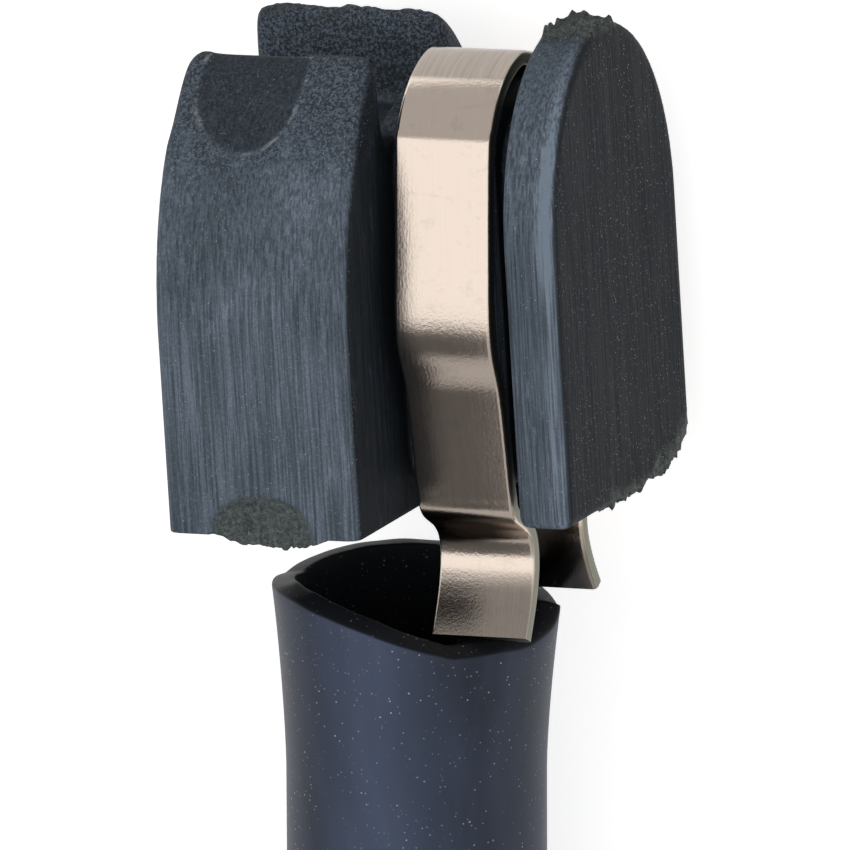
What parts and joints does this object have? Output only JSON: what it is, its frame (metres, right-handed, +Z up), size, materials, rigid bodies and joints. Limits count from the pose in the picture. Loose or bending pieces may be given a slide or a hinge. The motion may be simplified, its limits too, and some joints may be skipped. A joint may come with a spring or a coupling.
{
  "type": "brake pad wear sensor",
  "caption": "Black moulded pad wear sensor head with a slotted lobe, thin arched plate and bent spring clip, on a rubber hose and coiled lead with a plug.",
  "frame": {"origin": "centre of the underside of the sensor head with its clip, lying on its back, on the surface it rests on", "axes": "+Y along the head towards its nose, the hose leaves towards -Y; +X from the friction side lobe to the thin arched plate; +Z up, out of the head's front"},
  "size_m": [0.0606, 0.1194, 0.0129],
  "materials": {
    "head_plastic": "satin black glass-filled plastic, brushed and scratched",
    "clip_strip": "bright rolled nickel bronze strip",
    "copper": "bare copper conductor",
    "lead_insulation": "smooth insulation",
    "hose_rubber": "smooth black rubber with fine dust",
    "cable_jacket": "smooth extruded jacket",
    "plug_plastic": "fine moulded texture",
    "seal_rubber": "silicone rubber",
    "lock_plastic": "natural moulded plastic",
    "tinned_brass": "tinned contact"
  },
  "bodies": {
    "root": {"sensor_body": "head_plastic", "spring_clip": "clip_strip", "sensing_wire": "copper", "lead_wire_front": "lead_insulation", "lead_wire_rear": "lead_insulation", "protective_hose": "hose_rubber", "cable": "cable_jacket", "cable_coil": "cable_jacket", "cable_tail": "cable_jacket", "plug_housing": "plug_plastic", "plug_terminal_left": "tinned_brass", "plug_terminal_right": "tinned_brass", "plug_nose_seal": "seal_rubber", "cable_grommet": "seal_rubber", "plug_lock": "lock_plastic"}
  },
  "joints": []
}
